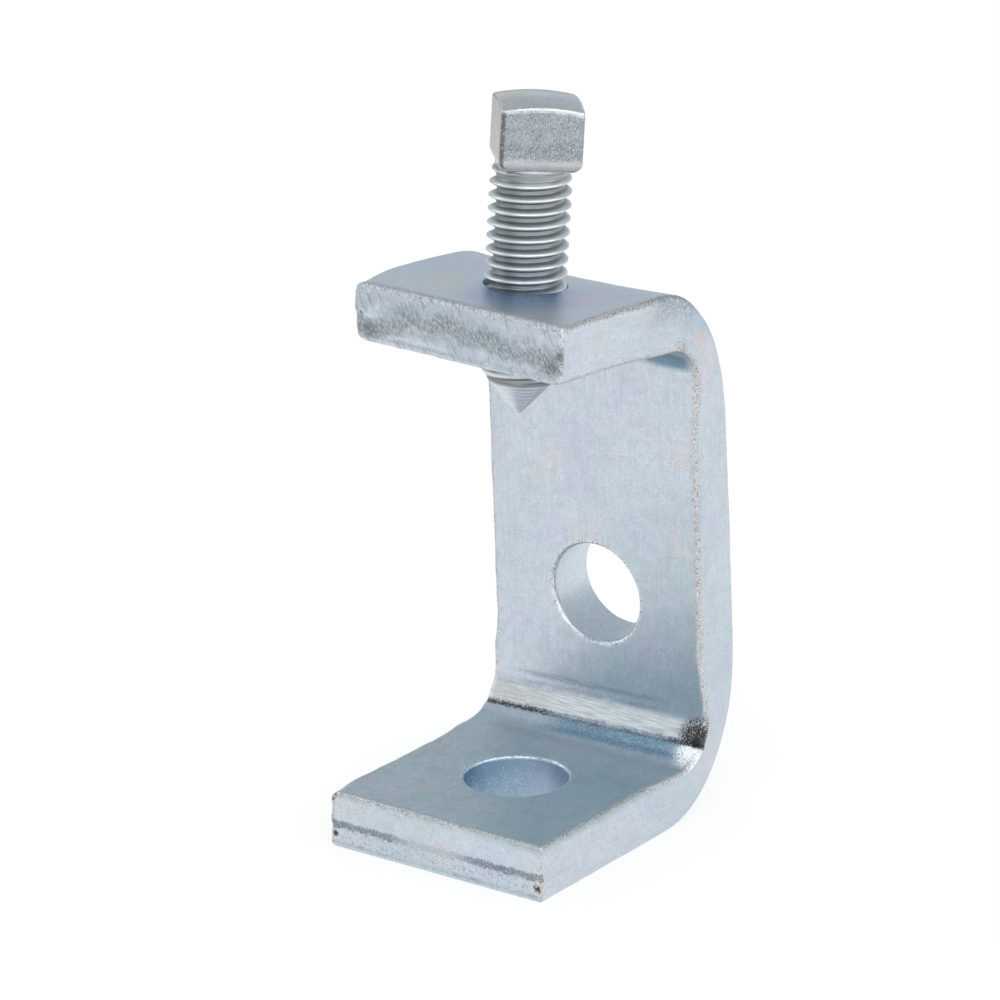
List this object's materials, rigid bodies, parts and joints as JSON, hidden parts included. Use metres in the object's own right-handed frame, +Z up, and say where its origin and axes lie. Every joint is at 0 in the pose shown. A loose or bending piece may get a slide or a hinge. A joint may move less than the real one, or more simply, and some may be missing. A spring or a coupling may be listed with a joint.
{
  "type": "beam clamp",
  "caption": "C-shaped beam clamp bent from thick flat bar, with a square-head cone-point set screw in the upper jaw and plain bolt holes in its back and lower jaw.",
  "frame": {"origin": "centre of the bolt hole in the lower jaw, on the face that the clamp stands on", "axes": "+Z up, +Y towards the closed back of the C, X across the bar's width"},
  "size_m": [0.0398, 0.0508, 0.1147],
  "materials": {
    "plated_bar": "bright zinc plate on hot-rolled bar",
    "plated_screw": "bright zinc plate on a rolled-thread screw"
  },
  "bodies": {
    "clamp": {"clamp_body": "plated_bar"},
    "screw": {"set_screw": "plated_screw"}
  },
  "joints": [
    {"name": "screw_travel", "type": "slide", "parent": "clamp", "child": "screw", "axis": [0, -0.1097, -0.994], "range_m": [-0.01, 0.0165]}
  ]
}
